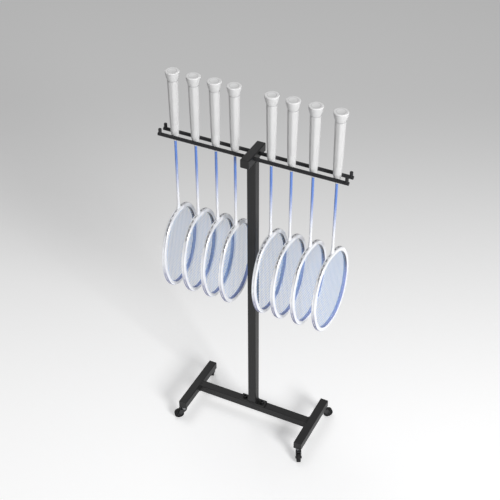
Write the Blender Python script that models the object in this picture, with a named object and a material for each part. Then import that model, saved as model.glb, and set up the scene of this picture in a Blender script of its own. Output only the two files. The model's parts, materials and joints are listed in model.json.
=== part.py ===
"""Racket rack: a steel stand on four swivel casters that holds eight badminton rackets.

A square post stands on a crossbeam between two feet and carries a short crosshead. Two round
rails run through the crosshead, one on each side of the post. Each racket hangs between the
rails, handle up, seated on them by the cone at the foot of its grip, so it lifts straight off.

Lengths are metres. +Z is up, the rails run along X, the front is -Y, and the origin is on the
floor under the post.
"""

from math import copysign, cos, pi, radians, sin, sqrt

import bmesh
import bpy
from mathutils import Matrix, Vector

for old_object in list(bpy.data.objects):
    bpy.data.objects.remove(old_object, do_unlink=True)

# Room left between pieces that touch, and round what passes through a hole
SEAT_GAP = 0.0003

# Steel tube of the stand
TUBE_SIDE = 0.025
TUBE_WALL = 0.0015
TUBE_CORNER = 0.0022
TUBE_END_CHAMFER = 0.0006

# Stand
STAND_HEIGHT = 0.9655
FOOT_LENGTH = 0.201
FOOT_SPACING = 0.384
FOOT_LIFT = 0.040
CROSSHEAD_LENGTH = 0.100

# Plate that bolts the post to the crossbeam
FLANGE_LENGTH = 0.082
FLANGE_THICKNESS = 0.004
FLANGE_CORNER = 0.002
BOLT_SPACING = 0.056
BOLT_SHANK = 0.006
BOLT_LENGTH = 0.012
BOLT_HEAD = 0.013
BOLT_HEAD_HEIGHT = 0.005
BOLT_HEAD_CHAMFER = 0.0008
BOLT_SOCKET = 0.006
BOLT_SOCKET_DEPTH = 0.003

# Rails
RAIL_DIAMETER = 0.010
RAIL_GAP = 0.020
RAIL_LENGTH = 0.543
STOP_DIAMETER = 0.009
STOP_INSET = 0.0012
STOP_RISE = 0.0115
STOP_CHAMFER = 0.0008

# Casters
CASTER_INSET = 0.009
CASTER_TRAIL = 0.0165
WHEEL_DIAMETER = 0.030
WHEEL_WIDTH = 0.0125
WHEEL_SHOULDER = 0.0012
WHEEL_RECESS = 0.0015
WHEEL_RIM = 0.0035
WHEEL_HUB = 0.010
WHEEL_TOP_GAP = 0.0015
WHEEL_SIDE_GAP = 0.0007
FORK_PLATE = 0.002
FORK_LEG = 0.0012
FORK_BOSS = 0.009
FORK_BACK_ROUND = 0.005
CUP_DIAMETER = 0.017
CUP_STEP = 0.0012
STEM_DIAMETER = 0.008
STEM_LENGTH = 0.012
KINGPIN_DIAMETER = 0.006
KINGPIN_HEAD = 0.009
KINGPIN_HEAD_HEIGHT = 0.0015
AXLE_DIAMETER = 0.004
AXLE_HEAD = 0.007
AXLE_HEAD_HEIGHT = 0.001

# Racket, measured down from the top of its butt
RACKET_LENGTH = 0.680
BUTT_DIAMETER = 0.038
BUTT_LENGTH = 0.0255
BUTT_ROUND = 0.0015
BUTT_FLARE = 1.7
SEAM_DEPTH = 0.0005
SEAM_WIDTH = 0.002
GRIP_WIDTH = 0.0272
GRIP_END_WIDTH = 0.0234
GRIP_END = 0.155
GRIP_CORNER_EASE = 8.0
CONE_LENGTH = 0.052
CONE_TIP = 0.0085
CONE_BULGE = 3.2
SHAFT_DIAMETER = 0.0072
SHAFT_INSERT = 0.060
HEAD_LENGTH = 0.2525
HEAD_WIDTH = 0.2005
FRAME_DEPTH = 0.011
FRAME_WALL = 0.0122
FRAME_CORNER = 0.002
THROAT_LENGTH = 0.028
THROAT_WIDTH = 0.026
THROAT_DEPTH = 0.0098
THROAT_FLARE = 3.2
STRING_WIDTH = 0.0012
STRING_PITCH = 0.034
MAIN_STRINGS = 5
CROSS_STRINGS = 6

# How square the head's outline is across and along, and how much it widens to the throat
HEAD_SQUARE_ACROSS = 2.4
HEAD_SQUARE_ALONG = 1.9
HEAD_TAPER = 0.02

# How far each racket hangs from the middle of its even share of the rails, how far it is turned
# about its shaft, and how far it leans along the rails
RACKET_SHIFTS = (0.0012, 0.0, -0.0022, -0.0084, 0.0084, 0.0032, 0.001, 0.0038)
RACKET_TURNS = (1.3, 0.8, 0.4, -0.4, -2.2, -2.8, -3.4, -4.3)
RACKET_LEANS = (0.2, 0.0, 0.0, 0.0, 0.0, 0.2, 0.3, 0.5)

# Which way each caster trails from its stem, as an angle from +X seen from above
CASTER_TURNS = {"front_left": 218.0, "front_right": -63.0, "rear_left": 117.0, "rear_right": 42.0}

# Facets of round pieces
TUBE_CORNER_STEPS = 2
HOLE_SIDES = 16
BOLT_SIDES = 16
RAIL_SIDES = 14
STEM_SIDES = 12
AXLE_SIDES = 12
WHEEL_SIDES = 16
HOOP_STATIONS = 26
SHAFT_SIDES = 10
THROAT_STEPS = 3
BUTT_STEPS = 3
CONE_SIDES = 12
CONE_STEPS = 5
BORE_SIDES = 10
FORK_BOSS_STEPS = 5

# Edges that bend by more than this stay sharp
SHARP_ANGLE = 38.0

# Heights and places that follow
foot_top = FOOT_LIFT + TUBE_SIDE
flange_bottom = foot_top + SEAT_GAP
flange_top = flange_bottom + FLANGE_THICKNESS
crosshead_bottom = STAND_HEIGHT - TUBE_SIDE
rail_height = STAND_HEIGHT - TUBE_SIDE / 2
rail_offset = (RAIL_GAP + RAIL_DIAMETER) / 2
caster_spacing = FOOT_LENGTH - 2 * CASTER_INSET

axle_height = WHEEL_DIAMETER / 2 * cos(pi / WHEEL_SIDES)
fork_plate_bottom = axle_height + WHEEL_DIAMETER / 2 + WHEEL_TOP_GAP
fork_plate_top = fork_plate_bottom + FORK_PLATE
fork_inside = WHEEL_WIDTH + 2 * WHEEL_SIDE_GAP
fork_outside = fork_inside + 2 * FORK_LEG

cone_end = GRIP_END + CONE_LENGTH
head_centre = RACKET_LENGTH - HEAD_LENGTH / 2
rackets_a_side = len(RACKET_SHIFTS) // 2
rail_share = (RAIL_LENGTH / 2 - STOP_INSET - STOP_DIAMETER - TUBE_SIDE / 2) / rackets_a_side


def ring(outline, height):
    """Lift a flat outline to a height."""
    return [(x, y, height) for x, y in outline]


def circle(diameter, sides):
    """Points round a circle, with a flat side facing each axis when sides divides by four."""
    turns = [(step + 0.5) * 2 * pi / sides for step in range(sides)]
    return [(diameter / 2 * cos(turn), diameter / 2 * sin(turn)) for turn in turns]


def rounded_rectangle(width, depth, radius, steps=TUBE_CORNER_STEPS):
    """Outline of a rectangle with round corners, anticlockwise."""
    outline = []
    for quarter, (side_x, side_y) in enumerate(((1, 1), (-1, 1), (-1, -1), (1, -1))):
        centre_x = side_x * (width / 2 - radius)
        centre_y = side_y * (depth / 2 - radius)
        for step in range(steps + 1):
            turn = (quarter + step / steps) * pi / 2
            outline.append((centre_x + radius * cos(turn), centre_y + radius * sin(turn)))
    return outline


def loft(rings, looped=False):
    """Skin a row of rings that have as many points each; looped joins the last to the first."""
    shape = bmesh.new()
    rows = [[shape.verts.new(point) for point in points] for points in rings]
    pairs = list(zip(rows, rows[1:]))
    if looped:
        pairs.append((rows[-1], rows[0]))
    else:
        shape.faces.new(rows[0])
        shape.faces.new(rows[-1])
    for lower, upper in pairs:
        for here in range(len(lower)):
            beside = (here + 1) % len(lower)
            shape.faces.new((lower[here], lower[beside], upper[beside], upper[here]))
    bmesh.ops.recalc_face_normals(shape, faces=shape.faces)
    mesh = bpy.data.meshes.new("shape")
    shape.to_mesh(mesh)
    shape.free()
    return mesh


def turned(profile, sides, looped=False):
    """Turn a profile of (diameter, height) pairs about Z; looped leaves a bore."""
    return loft([ring(circle(diameter, sides), height) for diameter, height in profile], looped)


def rod(diameter, low, high, sides=HOLE_SIDES):
    return turned(((diameter, low), (diameter, high)), sides)


def box(low, high):
    """A block between two opposite corners."""
    outline = [(low[0], low[1]), (high[0], low[1]), (high[0], high[1]), (low[0], high[1])]
    return loft([ring(outline, low[2]), ring(outline, high[2])])


def moved(mesh, x=0.0, y=0.0, z=0.0):
    mesh.transform(Matrix.Translation((x, y, z)))
    return mesh


def laid_along_x(mesh):
    """Lay a shape that was built along Z down along X."""
    mesh.transform(Matrix.Rotation(pi / 2, 4, "Y"))
    return mesh


def laid_along_y(mesh):
    """Lay a shape that was built along Z down along Y."""
    mesh.transform(Matrix.Rotation(-pi / 2, 4, "X"))
    return mesh


def combined(operation, body, others):
    """Cut the other shapes out of a body, or join them to it, and return one mesh."""
    subject = bpy.data.objects.new("subject", body)
    bpy.context.scene.collection.objects.link(subject)
    helpers = []
    for other in others:
        helper = bpy.data.objects.new("helper", other)
        bpy.context.scene.collection.objects.link(helper)
        modifier = subject.modifiers.new("Combine", "BOOLEAN")
        modifier.operation = operation
        modifier.solver = "EXACT"
        modifier.object = helper
        helpers.append(helper)
    depsgraph = bpy.context.evaluated_depsgraph_get()
    mesh = bpy.data.meshes.new_from_object(subject.evaluated_get(depsgraph))
    for helper in [subject, *helpers]:
        bpy.data.objects.remove(helper, do_unlink=True)
    return mesh


def cut(body, *cutters):
    return combined("DIFFERENCE", body, cutters)


def fused(body, *others):
    return combined("UNION", body, others)


def material(name, colour, roughness, metallic):
    finish = bpy.data.materials.new(name)
    finish.use_nodes = True
    surface = finish.node_tree.nodes["Principled BSDF"]
    surface.inputs["Base Color"].default_value = (*colour, 1.0)
    surface.inputs["Roughness"].default_value = roughness
    surface.inputs["Metallic"].default_value = metallic
    return finish


FINISHES = {
    "stand": ((0.040, 0.040, 0.041), 0.45, 0.2),
    "rail": ((0.022, 0.022, 0.023), 0.40, 0.3),
    "bolt": ((0.010, 0.010, 0.010), 0.45, 0.6),
    "zinc": ((0.550, 0.550, 0.560), 0.35, 1.0),
    "fork": ((0.018, 0.018, 0.019), 0.40, 0.7),
    "wheel": ((0.008, 0.008, 0.008), 0.60, 0.0),
    "frame": ((0.700, 0.730, 0.850), 0.25, 0.0),
    "strings": ((0.620, 0.660, 0.800), 0.40, 0.0),
    "grip": ((0.780, 0.780, 0.780), 0.70, 0.0),
    "cone": ((0.820, 0.820, 0.820), 0.35, 0.0),
}


def empty(name, location, turn=0.0, lean=0.0, parent=None):
    """A frame to hang pieces on, turned about Z and leaning along X."""
    holder = bpy.data.objects.new(name, None)
    holder.location = location
    holder.rotation_euler = (0.0, radians(lean), radians(turn))
    holder.parent = parent
    bpy.context.scene.collection.objects.link(holder)
    return holder


def piece(name, mesh, finish, location=(0.0, 0.0, 0.0), parent=None):
    """Place one solid of the model, smooth but for its real edges."""
    mesh.shade_smooth()
    mesh.set_sharp_from_angle(angle=radians(SHARP_ANGLE))
    solid = bpy.data.objects.new(name, mesh)
    solid.location = location
    solid.parent = parent
    bpy.context.scene.collection.objects.link(solid)
    solid.data.materials.clear()
    solid.data.materials.append(None)
    slot = solid.material_slots[0]
    slot.link = "OBJECT"
    slot.material = material(name, *FINISHES[finish])
    return solid


def open_tube(length):
    """Square tube, centred along Z and open at both ends."""
    outside = rounded_rectangle(TUBE_SIDE, TUBE_SIDE, TUBE_CORNER)
    bore = TUBE_SIDE - 2 * TUBE_WALL
    inside = rounded_rectangle(bore, bore, max(TUBE_CORNER - TUBE_WALL, SEAT_GAP))
    low, high = -length / 2, length / 2
    return loft([ring(outside, low), ring(outside, high), ring(inside, high), ring(inside, low)], looped=True)


def capped_tube(length):
    """Square tube along Y, centred, with its ends welded shut and dressed to a small chamfer."""
    full = rounded_rectangle(TUBE_SIDE, TUBE_SIDE, TUBE_CORNER)
    narrow = TUBE_SIDE - 2 * TUBE_END_CHAMFER
    small = rounded_rectangle(narrow, narrow, TUBE_CORNER - TUBE_END_CHAMFER)
    half = length / 2
    shell = loft([ring(small, -half), ring(full, TUBE_END_CHAMFER - half),
                  ring(full, half - TUBE_END_CHAMFER), ring(small, half)])
    hollow = TUBE_SIDE / 2 - TUBE_WALL
    core = box((-hollow, -hollow, TUBE_WALL - half), (hollow, hollow, half - TUBE_WALL))
    return laid_along_y(cut(shell, core))


def build_post():
    """Upright tube between the bolted plate and the crosshead."""
    low = flange_top + SEAT_GAP
    high = crosshead_bottom - SEAT_GAP
    piece("post", open_tube(high - low), "stand", (0.0, 0.0, (low + high) / 2))


def build_crosshead():
    """Short capped tube on top of the post, bored across for the two rails."""
    hole = RAIL_DIAMETER + 2 * SEAT_GAP
    bores = [moved(laid_along_x(rod(hole, -TUBE_SIDE, TUBE_SIDE)), y=side * rail_offset) for side in (-1, 1)]
    piece("crosshead", cut(capped_tube(CROSSHEAD_LENGTH), *bores), "stand", (0.0, 0.0, rail_height))


def build_rails():
    """Round rails through the crosshead, each with an upright stop near both ends."""
    for name, side in (("front_rail", -1), ("rear_rail", 1)):
        bar = laid_along_x(rod(RAIL_DIAMETER, -RAIL_LENGTH / 2, RAIL_LENGTH / 2, RAIL_SIDES))
        top = RAIL_DIAMETER / 2 + STOP_RISE
        profile = ((STOP_DIAMETER, 0.0), (STOP_DIAMETER, top - STOP_CHAMFER),
                   (STOP_DIAMETER - 2 * STOP_CHAMFER, top))
        stop_place = RAIL_LENGTH / 2 - STOP_INSET - STOP_DIAMETER / 2
        stops = [moved(turned(profile, RAIL_SIDES), x=end * stop_place) for end in (-1, 1)]
        piece(name, fused(bar, *stops), "rail", (0.0, side * rail_offset, rail_height))


def build_base():
    """Crossbeam between two capped feet, with holes for the bolts and the caster stems."""
    beam_length = FOOT_SPACING - TUBE_SIDE - 2 * SEAT_GAP
    bolt_hole = BOLT_SHANK + 2 * SEAT_GAP
    bolt_holes = [moved(rod(bolt_hole, 0.0, TUBE_SIDE), x=side * BOLT_SPACING / 2) for side in (-1, 1)]
    middle = FOOT_LIFT + TUBE_SIDE / 2
    piece("crossbeam", cut(laid_along_x(open_tube(beam_length)), *bolt_holes), "stand", (0.0, 0.0, middle))
    for name, side in (("foot_left", -1), ("foot_right", 1)):
        stem_hole = STEM_DIAMETER + 2 * SEAT_GAP
        stem_holes = [moved(rod(stem_hole, -TUBE_SIDE, 0.0), y=end * caster_spacing / 2) for end in (-1, 1)]
        place = (side * FOOT_SPACING / 2, 0.0, middle)
        piece(name, cut(capped_tube(FOOT_LENGTH), *stem_holes), "stand", place)


def build_flange():
    """Plate under the post, held down by two socket-head bolts."""
    outline = rounded_rectangle(FLANGE_LENGTH, TUBE_SIDE, FLANGE_CORNER)
    plate = loft([ring(outline, 0.0), ring(outline, FLANGE_THICKNESS)])
    hole = BOLT_SHANK + 2 * SEAT_GAP
    holes = [moved(rod(hole, -FLANGE_THICKNESS, 2 * FLANGE_THICKNESS), x=side * BOLT_SPACING / 2)
             for side in (-1, 1)]
    piece("post_flange", cut(plate, *holes), "stand", (0.0, 0.0, flange_bottom))
    for name, side in (("post_bolt_left", -1), ("post_bolt_right", 1)):
        body = turned(((BOLT_SHANK, -BOLT_LENGTH), (BOLT_SHANK, 0.0), (BOLT_HEAD, 0.0),
                       (BOLT_HEAD, BOLT_HEAD_HEIGHT - BOLT_HEAD_CHAMFER),
                       (BOLT_HEAD - 2 * BOLT_HEAD_CHAMFER, BOLT_HEAD_HEIGHT)), BOLT_SIDES)
        socket_width = BOLT_SOCKET / cos(pi / 6)
        socket = rod(socket_width, BOLT_HEAD_HEIGHT - BOLT_SOCKET_DEPTH, 2 * BOLT_HEAD_HEIGHT, 6)
        place = (side * BOLT_SPACING / 2, 0.0, flange_top + SEAT_GAP)
        piece(name, cut(body, socket), "bolt", place)


def caster_stem():
    """Threaded stem, swivel cup and headed kingpin in one turned piece, as heights above the floor."""
    head_top = fork_plate_bottom - SEAT_GAP
    cup_bottom = fork_plate_top + SEAT_GAP
    cup_top = FOOT_LIFT - SEAT_GAP
    stem_top = FOOT_LIFT + STEM_LENGTH
    neck = CUP_DIAMETER - 2 * CUP_STEP
    return turned(((KINGPIN_HEAD, head_top - KINGPIN_HEAD_HEIGHT), (KINGPIN_HEAD, head_top),
                   (KINGPIN_DIAMETER, head_top), (KINGPIN_DIAMETER, cup_bottom),
                   (CUP_DIAMETER, cup_bottom), (CUP_DIAMETER, (cup_bottom + cup_top) / 2),
                   (neck, (cup_bottom + cup_top) / 2), (neck, cup_top),
                   (STEM_DIAMETER, cup_top), (STEM_DIAMETER, stem_top)), STEM_SIDES)


def caster_fork():
    """Folded fork: a top plate on the kingpin and two legs that run back to the axle."""
    back = -CUP_DIAMETER / 2
    boss_start, boss_end = radians(-150), radians(25)
    boss_step = (boss_end - boss_start) / FORK_BOSS_STEPS
    outline = []
    for step in range(FORK_BOSS_STEPS + 1):
        turn = boss_start + step * boss_step
        outline.append((CASTER_TRAIL + FORK_BOSS / 2 * cos(turn), axle_height + FORK_BOSS / 2 * sin(turn)))
    outline += [(CASTER_TRAIL - FORK_BOSS / 3, fork_plate_top), (back, fork_plate_top),
                (back, fork_plate_bottom - FORK_PLATE / 2)]
    half = fork_outside / 2
    body = loft([[(x, side * half, z) for x, z in outline] for side in (-1, 1)])
    shape = bmesh.new()
    shape.from_mesh(body)
    back_edges = [edge for edge in shape.edges
                  if all(vertex.co.x < back / 2 for vertex in edge.verts)
                  and abs(edge.verts[0].co.y - edge.verts[1].co.y) < half
                  and abs(edge.verts[0].co.x - edge.verts[1].co.x) < FORK_PLATE / 2]
    bmesh.ops.bevel(shape, geom=back_edges, offset=FORK_BACK_ROUND, segments=2, affect="EDGES", profile=0.5)
    shape.to_mesh(body)
    shape.free()
    reach = CASTER_TRAIL + WHEEL_DIAMETER
    hollow = box((-reach, -fork_inside / 2, -axle_height), (reach, fork_inside / 2, fork_plate_bottom))
    kingpin_hole = rod(KINGPIN_DIAMETER + 2 * SEAT_GAP, axle_height, FOOT_LIFT)
    axle_hole = laid_along_y(rod(AXLE_DIAMETER + 2 * SEAT_GAP, -fork_outside, fork_outside, AXLE_SIDES))
    return cut(body, hollow, kingpin_hole, moved(axle_hole, x=CASTER_TRAIL, z=axle_height))


def caster_axle():
    """Riveted axle along Y, centred, with a head outside each leg of the fork."""
    inner = fork_outside / 2 + SEAT_GAP
    outer = inner + AXLE_HEAD_HEIGHT
    return laid_along_y(turned(((AXLE_HEAD, -outer), (AXLE_HEAD, -inner), (AXLE_DIAMETER, -inner),
                                (AXLE_DIAMETER, inner), (AXLE_HEAD, inner), (AXLE_HEAD, outer)), AXLE_SIDES))


def caster_wheel():
    """Moulded wheel on Y, centred: tread with round shoulders, recessed faces, hub and bore."""
    half = WHEEL_WIDTH / 2
    bore = AXLE_DIAMETER + 2 * SEAT_GAP
    rim = WHEEL_DIAMETER - 2 * WHEEL_RIM
    floor = half - WHEEL_RECESS
    side = ((WHEEL_HUB, half), (WHEEL_HUB + 2 * WHEEL_RECESS, floor), (rim, floor), (rim, half),
            (WHEEL_DIAMETER - 2 * WHEEL_SHOULDER, half), (WHEEL_DIAMETER, half - WHEEL_SHOULDER))
    profile = [(bore, half), *side]
    profile += [(diameter, -height) for diameter, height in reversed(profile)]
    return laid_along_y(turned(profile, WHEEL_SIDES, looped=True))


def build_casters():
    """Four casters, each swivelling on its stem and rolling on its axle."""
    stem, fork, axle, wheel = caster_stem(), caster_fork(), caster_axle(), caster_wheel()
    for corner, turn in CASTER_TURNS.items():
        end, side = corner.split("_")
        x = FOOT_SPACING / 2 * (1 if side == "right" else -1)
        y = caster_spacing / 2 * (1 if end == "rear" else -1)
        swivel = empty(f"caster_{corner}", (x, y, 0.0), turn)
        spindle = empty(f"spindle_{corner}", (CASTER_TRAIL, 0.0, axle_height), parent=swivel)
        piece(f"caster_stem_{corner}", stem, "zinc", (x, y, 0.0))
        piece(f"caster_fork_{corner}", fork, "fork", parent=swivel)
        piece(f"caster_axle_{corner}", axle, "zinc", parent=spindle)
        piece(f"caster_wheel_{corner}", wheel, "wheel", parent=spindle)


def butt_diameter(depth):
    """Diameter of the butt at a depth below its top: full under the rim, then falling to the grip."""
    share = max(depth - BUTT_ROUND, 0.0) / (BUTT_LENGTH - BUTT_ROUND)
    return GRIP_WIDTH + (BUTT_DIAMETER - GRIP_WIDTH) * (1 - share ** BUTT_FLARE)


def cone_diameter(depth):
    """Diameter of the cone at a depth below the butt: full at the grip, rounding in to its tip."""
    share = (depth - GRIP_END) / CONE_LENGTH
    return CONE_TIP + (GRIP_END_WIDTH - CONE_TIP) * (1 - share ** CONE_BULGE)


def handle_diameter(depth):
    """Width of the whole handle at a depth below the butt."""
    if depth < BUTT_LENGTH:
        return butt_diameter(depth)
    if depth < GRIP_END:
        share = (depth - BUTT_LENGTH) / (GRIP_END - BUTT_LENGTH)
        return GRIP_WIDTH + (GRIP_END_WIDTH - GRIP_WIDTH) * share
    return cone_diameter(depth)


def seat_depth():
    """Depth below the butt that lies level with the rails when the handle rests on them."""
    reach = RAIL_DIAMETER / 2 + SEAT_GAP
    samples = 2000
    seat = 0.0
    for step in range(samples):
        depth = cone_end * step / samples
        room = rail_offset - handle_diameter(depth) / 2
        if room < reach:
            lift = sqrt(reach ** 2 - max(room, 0.0) ** 2)
            seat = max(seat, depth + lift)
    return seat


racket_seat = seat_depth()


def grip_ring(width, squareness, depth):
    """Eight-sided section with eased corners; squareness 0 makes it round."""
    corner_ease = radians(GRIP_CORNER_EASE)
    flat_turn = pi / 8 - corner_ease
    points = []
    for corner in range(8):
        for ease in (-corner_ease, corner_ease):
            turn = (corner + 0.5) * pi / 4 + ease
            radius = width / 2 * (1 + squareness * (1 / cos(flat_turn) - 1))
            points.append((radius * cos(turn), radius * sin(turn), racket_seat - depth))
    return points


def racket_grip():
    """Flared butt, a seam and a tapered eight-sided grip, bored from below for the shaft."""
    butt_step = (BUTT_LENGTH - BUTT_ROUND) / BUTT_STEPS
    butt_depths = [BUTT_ROUND + butt_step * step for step in range(BUTT_STEPS + 1)]
    outside = loft([
        grip_ring(BUTT_DIAMETER - 2 * BUTT_ROUND, 0, 0.0),
        *[grip_ring(butt_diameter(depth), 0, depth) for depth in butt_depths],
        grip_ring(GRIP_WIDTH - 2 * SEAM_DEPTH, 0, BUTT_LENGTH + SEAM_WIDTH / 2),
        grip_ring(GRIP_WIDTH, 1, BUTT_LENGTH + SEAM_WIDTH),
        grip_ring(GRIP_END_WIDTH, 1, GRIP_END),
    ])
    bore_top = racket_seat - GRIP_END + SHAFT_INSERT
    bore = rod(SHAFT_DIAMETER + 2 * SEAT_GAP, racket_seat - cone_end, bore_top, BORE_SIDES)
    return cut(outside, bore)


def racket_cone():
    """Cone between grip and shaft, which carries the racket on the rails."""
    top = GRIP_END + SEAT_GAP
    depths = [top + (cone_end - top) * step / CONE_STEPS for step in range(CONE_STEPS + 1)]
    bore = SHAFT_DIAMETER + 2 * SEAT_GAP
    profile = [(cone_diameter(depth), racket_seat - depth) for depth in depths]
    profile += [(bore, racket_seat - cone_end), (bore, racket_seat - top)]
    return turned(profile, CONE_SIDES, looped=True)


def hoop_centre(turn):
    """Point of the frame's centre line as (across, along) from the head's centre."""
    half_width = (HEAD_WIDTH - FRAME_WALL) / 2
    half_length = (HEAD_LENGTH - FRAME_WALL) / 2
    along = copysign(abs(sin(turn)) ** (2 / HEAD_SQUARE_ALONG), sin(turn))
    across = copysign(abs(cos(turn)) ** (2 / HEAD_SQUARE_ACROSS), cos(turn))
    return Vector((half_width * across * (1 + HEAD_TAPER * along), half_length * along))


def hoop_outline(offset):
    """The frame's outline, moved outward by an offset, as one point for each station."""
    outline = []
    for station in range(HOOP_STATIONS):
        turn = (station + 0.5) * 2 * pi / HOOP_STATIONS
        step = pi / HOOP_STATIONS
        tangent = hoop_centre(turn + step) - hoop_centre(turn - step)
        outward = Vector((tangent.y, -tangent.x)).normalized()
        outline.append(hoop_centre(turn) + offset * outward)
    return outline


def racket_frame():
    """Oval frame with its throat and shaft, one moulding."""
    middle = racket_seat - head_centre
    sections = []
    for depth, reach in rounded_rectangle(FRAME_DEPTH, FRAME_WALL, FRAME_CORNER, 1):
        sections.append([(depth, point.x, middle + point.y) for point in hoop_outline(reach)])
    hoop = loft([list(station) for station in zip(*sections)], looped=True)

    throat_top = middle + HEAD_LENGTH / 2 + THROAT_LENGTH
    root = middle + (HEAD_LENGTH - FRAME_WALL) / 2
    flare = [(SHAFT_DIAMETER, SHAFT_DIAMETER, racket_seat - GRIP_END + SHAFT_INSERT - SEAT_GAP)]
    for step in range(THROAT_STEPS + 1):
        share = step / THROAT_STEPS
        deep = SHAFT_DIAMETER + (THROAT_DEPTH - SHAFT_DIAMETER) * share
        wide = SHAFT_DIAMETER + (THROAT_WIDTH - SHAFT_DIAMETER) * share ** THROAT_FLARE
        flare.append((deep, wide, throat_top + (root - throat_top) * share))
    shaft = loft([[(x * deep, y * wide, height) for x, y in circle(1.0, SHAFT_SIDES)]
                  for deep, wide, height in flare])
    return fused(hoop, shaft)


def crossings(outline, axis, place):
    """Where a line at a fixed place on one axis enters and leaves a closed outline."""
    other = 1 - axis
    hits = []
    for start, end in zip(outline, outline[1:] + outline[:1]):
        if (start[axis] - place) * (end[axis] - place) < 0:
            share = (place - start[axis]) / (end[axis] - start[axis])
            hits.append(start[other] + share * (end[other] - start[other]))
    return min(hits), max(hits)


def racket_strings():
    """Flat string bed: uprights and crosses in one sheet, each ending just short of the frame."""
    wall = hoop_outline(-FRAME_WALL / 2 - SEAT_GAP)
    half = STRING_WIDTH / 2
    mains = [(number - (MAIN_STRINGS - 1) / 2) * STRING_PITCH for number in range(MAIN_STRINGS)]
    crosses = [(number - (CROSS_STRINGS - 1) / 2) * STRING_PITCH for number in range(CROSS_STRINGS)]
    sheet = bmesh.new()
    corners = {}

    def crossing_corners(main, cross):
        if (main, cross) not in corners:
            corners[main, cross] = {
                (side, level): sheet.verts.new((0.0, main + side * half, cross + level * half))
                for side in (-1, 1) for level in (-1, 1)}
        return corners[main, cross]

    def tip(place, axis, end):
        """The two corners of a string's free end at the frame."""
        points = []
        for side in (-1, 1):
            reach = crossings(wall, axis, place + side * half)[end]
            point = (0.0, place + side * half, reach) if axis == 0 else (0.0, reach, place + side * half)
            points.append(sheet.verts.new(point))
        return points

    def strip(place, axis, knots):
        """One string: its knots joined in a row between its two free ends."""
        rows = [tip(place, axis, 0)]
        for knot in knots:
            points = crossing_corners(place, knot) if axis == 0 else crossing_corners(knot, place)
            for level in (-1, 1):
                keys = [(side, level) if axis == 0 else (level, side) for side in (-1, 1)]
                rows.append([points[key] for key in keys])
        rows.append(tip(place, axis, 1))
        for number, (lower, upper) in enumerate(zip(rows, rows[1:])):
            on_knot = number % 2 == 1
            if axis == 0 or not on_knot:
                sheet.faces.new((lower[0], lower[1], upper[1], upper[0]))

    for main in mains:
        strip(main, 0, [cross for cross in crosses if inside(wall, main, cross)])
    for cross in crosses:
        strip(cross, 1, [main for main in mains if inside(wall, main, cross)])

    thickness = Vector((STRING_WIDTH, 0.0, 0.0))
    extruded = bmesh.ops.extrude_face_region(sheet, geom=sheet.faces[:])["geom"]
    for item in extruded:
        if isinstance(item, bmesh.types.BMVert):
            item.co += thickness
    bmesh.ops.translate(sheet, verts=sheet.verts, vec=(-half, 0.0, racket_seat - head_centre))
    bmesh.ops.recalc_face_normals(sheet, faces=sheet.faces)
    mesh = bpy.data.meshes.new("strings")
    sheet.to_mesh(mesh)
    sheet.free()
    return mesh


def inside(outline, across, along):
    """Whether a knot lies within an outline, with room for a string's width."""
    low, high = crossings(outline, 0, across)
    return low + 2 * STRING_WIDTH < along < high - 2 * STRING_WIDTH


def build_rackets():
    """Eight rackets, each a frame, strings, grip and cone that lift as one."""
    frame, strings, grip, cone = racket_frame(), racket_strings(), racket_grip(), racket_cone()
    hanging = zip(RACKET_SHIFTS, RACKET_TURNS, RACKET_LEANS)
    for index, (shift, turn, lean) in enumerate(hanging):
        side = -1 if index < rackets_a_side else 1
        share_middle = (index - rackets_a_side + 0.5) * rail_share
        place = side * TUBE_SIDE / 2 + share_middle + shift
        number = index + 1
        seat = empty(f"racket_{number}", (place, 0.0, rail_height), turn, lean)
        piece(f"racket_{number}_frame", frame, "frame", parent=seat)
        piece(f"racket_{number}_strings", strings, "strings", parent=seat)
        piece(f"racket_{number}_grip", grip, "grip", parent=seat)
        piece(f"racket_{number}_cone", cone, "cone", parent=seat)


build_base()
build_flange()
build_post()
build_crosshead()
build_rails()
build_casters()
build_rackets()
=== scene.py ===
"""Finishes and fine shapes for a racket rack on casters.

Laid out as an add-on, and run as a script.
"""

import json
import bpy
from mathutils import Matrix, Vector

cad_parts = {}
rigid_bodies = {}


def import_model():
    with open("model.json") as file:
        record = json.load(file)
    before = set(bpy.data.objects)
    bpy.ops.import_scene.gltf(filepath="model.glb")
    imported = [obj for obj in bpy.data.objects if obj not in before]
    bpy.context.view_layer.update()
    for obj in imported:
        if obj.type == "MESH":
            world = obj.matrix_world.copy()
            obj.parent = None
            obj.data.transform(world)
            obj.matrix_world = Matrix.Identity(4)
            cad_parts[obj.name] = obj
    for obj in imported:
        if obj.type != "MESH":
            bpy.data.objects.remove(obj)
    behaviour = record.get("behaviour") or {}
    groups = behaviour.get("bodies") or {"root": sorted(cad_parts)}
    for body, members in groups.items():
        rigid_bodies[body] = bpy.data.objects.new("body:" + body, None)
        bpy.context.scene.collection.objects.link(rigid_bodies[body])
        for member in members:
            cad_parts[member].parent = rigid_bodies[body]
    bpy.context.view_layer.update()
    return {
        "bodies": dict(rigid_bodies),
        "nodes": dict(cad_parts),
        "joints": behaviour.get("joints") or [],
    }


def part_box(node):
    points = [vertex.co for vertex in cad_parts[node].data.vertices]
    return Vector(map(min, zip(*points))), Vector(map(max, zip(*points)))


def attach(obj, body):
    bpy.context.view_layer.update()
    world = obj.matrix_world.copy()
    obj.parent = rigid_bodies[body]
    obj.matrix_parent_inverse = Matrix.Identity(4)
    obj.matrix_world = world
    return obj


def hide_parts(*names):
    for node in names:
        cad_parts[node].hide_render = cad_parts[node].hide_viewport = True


bl_info = {
    "name": "Racket rack",
    "version": (1, 0, 0),
    "blender": (4, 5, 0),
    "location": "3D Viewport > Sidebar > Racket rack",
    "description": "Dresses the racket rack with its finishes, strung rackets and caster wheels",
    "category": "Object",
}

from math import cos, pi, radians, sin

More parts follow.
